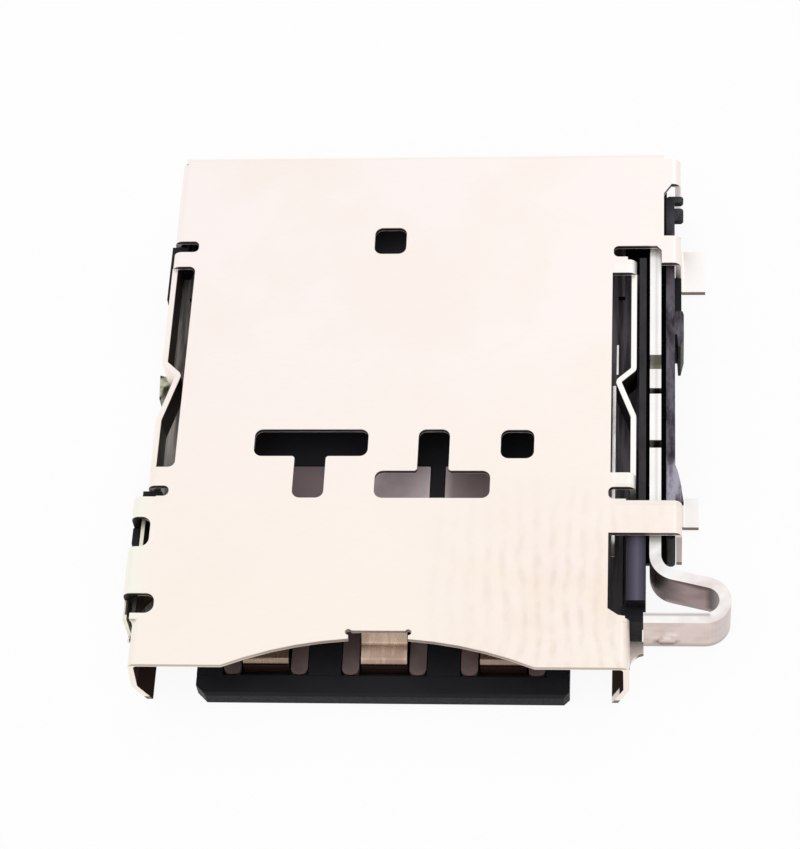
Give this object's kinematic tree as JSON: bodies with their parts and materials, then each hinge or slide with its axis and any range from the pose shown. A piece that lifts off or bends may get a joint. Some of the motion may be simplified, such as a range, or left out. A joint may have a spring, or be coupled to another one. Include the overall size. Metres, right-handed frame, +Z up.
{
  "type": "nano sim card socket",
  "caption": "Board-mounted socket for a nano SIM tray: folded sheet shell over a moulded base with spring contacts, a push rod with a looped press pad and an eject lever.",
  "frame": {"origin": "on the board plane, on the card's centre line, halfway along the shell", "axes": "+X to the right seen from the mouth, +Y the way the tray goes in, +Z up from the board"},
  "size_m": [0.0131, 0.0136, 0.0014],
  "materials": {
    "base_moulding": "black moulded polymer, fine satin",
    "shell_sheet": "bright stamped stainless sheet",
    "contact_metal": "plated copper alloy",
    "switch_metal": "gold plated copper alloy",
    "rod_sheet": "bent stainless strip, satin",
    "lever_sheet": "stamped stainless, satin"
  },
  "bodies": {
    "socket": {"base": "base_moulding", "shell": "shell_sheet", "contact_front_left": "contact_metal", "contact_front_middle": "contact_metal", "contact_front_right": "contact_metal", "contact_rear_left": "contact_metal", "contact_rear_middle": "contact_metal", "contact_rear_right": "contact_metal", "detect_spring": "switch_metal", "detect_terminal": "switch_metal"},
    "rod": {"push_rod": "rod_sheet"},
    "lever": {"eject_lever": "lever_sheet"}
  },
  "joints": [
    {"name": "rod_slide", "type": "slide", "parent": "socket", "child": "rod", "axis": [0, 1, 0], "range_m": [-0.0012, 0]},
    {"name": "lever_pivot", "type": "hinge", "parent": "socket", "child": "lever", "pos_m": [0.0039, 0.00548, 0.001], "axis": [0, 0, 1], "range_deg": [-37.2, 0]}
  ],
  "couplings": [
    {"joint": "lever_pivot", "follows": "rod_slide", "rad_per_m": 540.54}
  ]
}
